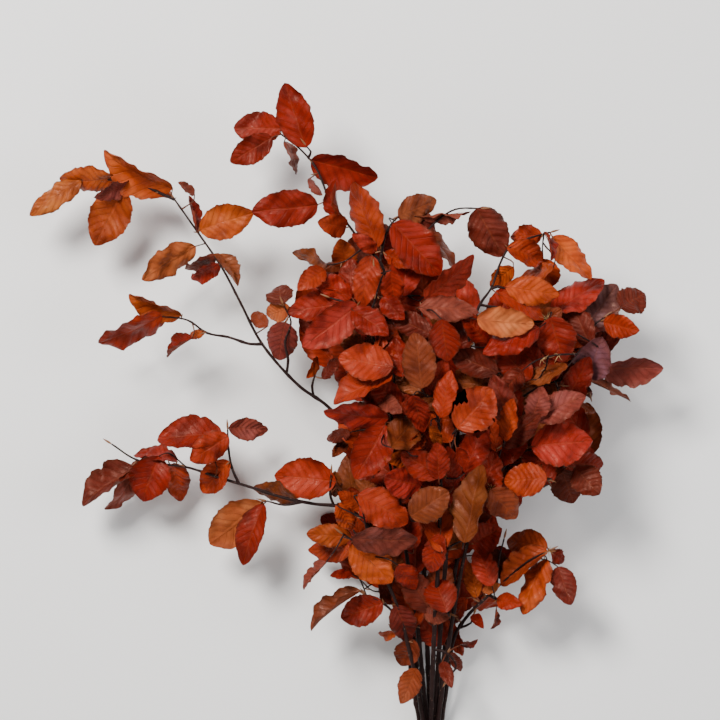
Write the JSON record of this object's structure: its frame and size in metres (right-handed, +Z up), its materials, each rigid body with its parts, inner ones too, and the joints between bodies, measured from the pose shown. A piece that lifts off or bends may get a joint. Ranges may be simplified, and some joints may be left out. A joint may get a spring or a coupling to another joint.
{
  "type": "bunch of beech leaf branches",
  "caption": "Cut bunch of leafy copper beech branches tied with twine, lying down, with oval red-orange leaves on thin dark twigs, for decoration.",
  "frame": {"origin": "middle of the bunch's plan outline, on the surface it lies on", "axes": "+Y from the cut stems to the highest twigs, +X to the right seen from above, +Z up from the surface"},
  "size_m": [0.6372, 0.7076, 0.171],
  "materials": {
    "leaves": "dry satin leaf, red-orange",
    "twine": "rough jute"
  },
  "bodies": {
    "root": {"branch_upper_left": "leaves", "branch_lower_left": "leaves", "branch_bottom_left": "leaves", "branch_left_middle": "leaves", "branch_top": "leaves", "branch_middle": "leaves", "branch_upper_right": "leaves", "branch_right": "leaves", "branch_lower_right": "leaves", "branch_bottom_right": "leaves", "tie": "twine"}
  },
  "joints": []
}
